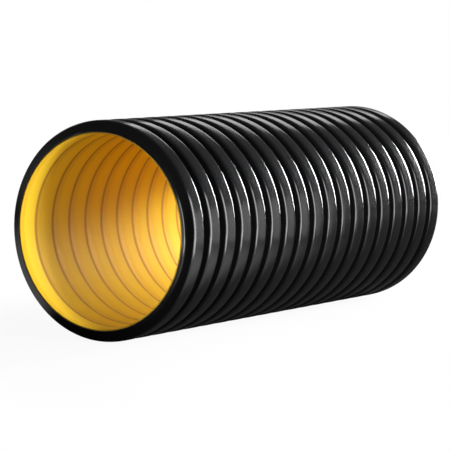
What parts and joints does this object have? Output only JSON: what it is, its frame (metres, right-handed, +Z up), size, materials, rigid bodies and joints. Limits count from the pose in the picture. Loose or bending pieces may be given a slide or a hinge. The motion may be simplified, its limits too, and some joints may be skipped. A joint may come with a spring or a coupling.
{
  "type": "corrugated pipe",
  "caption": "Straight length of corrugated plastic drain pipe: hollow black ring ribs outside, a smooth yellow liner inside, both ends cut square.",
  "frame": {"origin": "on the floor, under the middle of the pipe, which lies on the crowns of its ribs", "axes": "+X along the pipe's axis, from the end that faces the camera to the far end; +Z up"},
  "size_m": [0.792, 0.34, 0.34],
  "materials": {
    "outer_wall": "black polyethylene with a soft gloss, as moulded",
    "liner": "yellow polyethylene with a soft gloss, as extruded"
  },
  "bodies": {
    "root": {"corrugated_wall": "outer_wall", "inner_liner": "liner"}
  },
  "joints": []
}
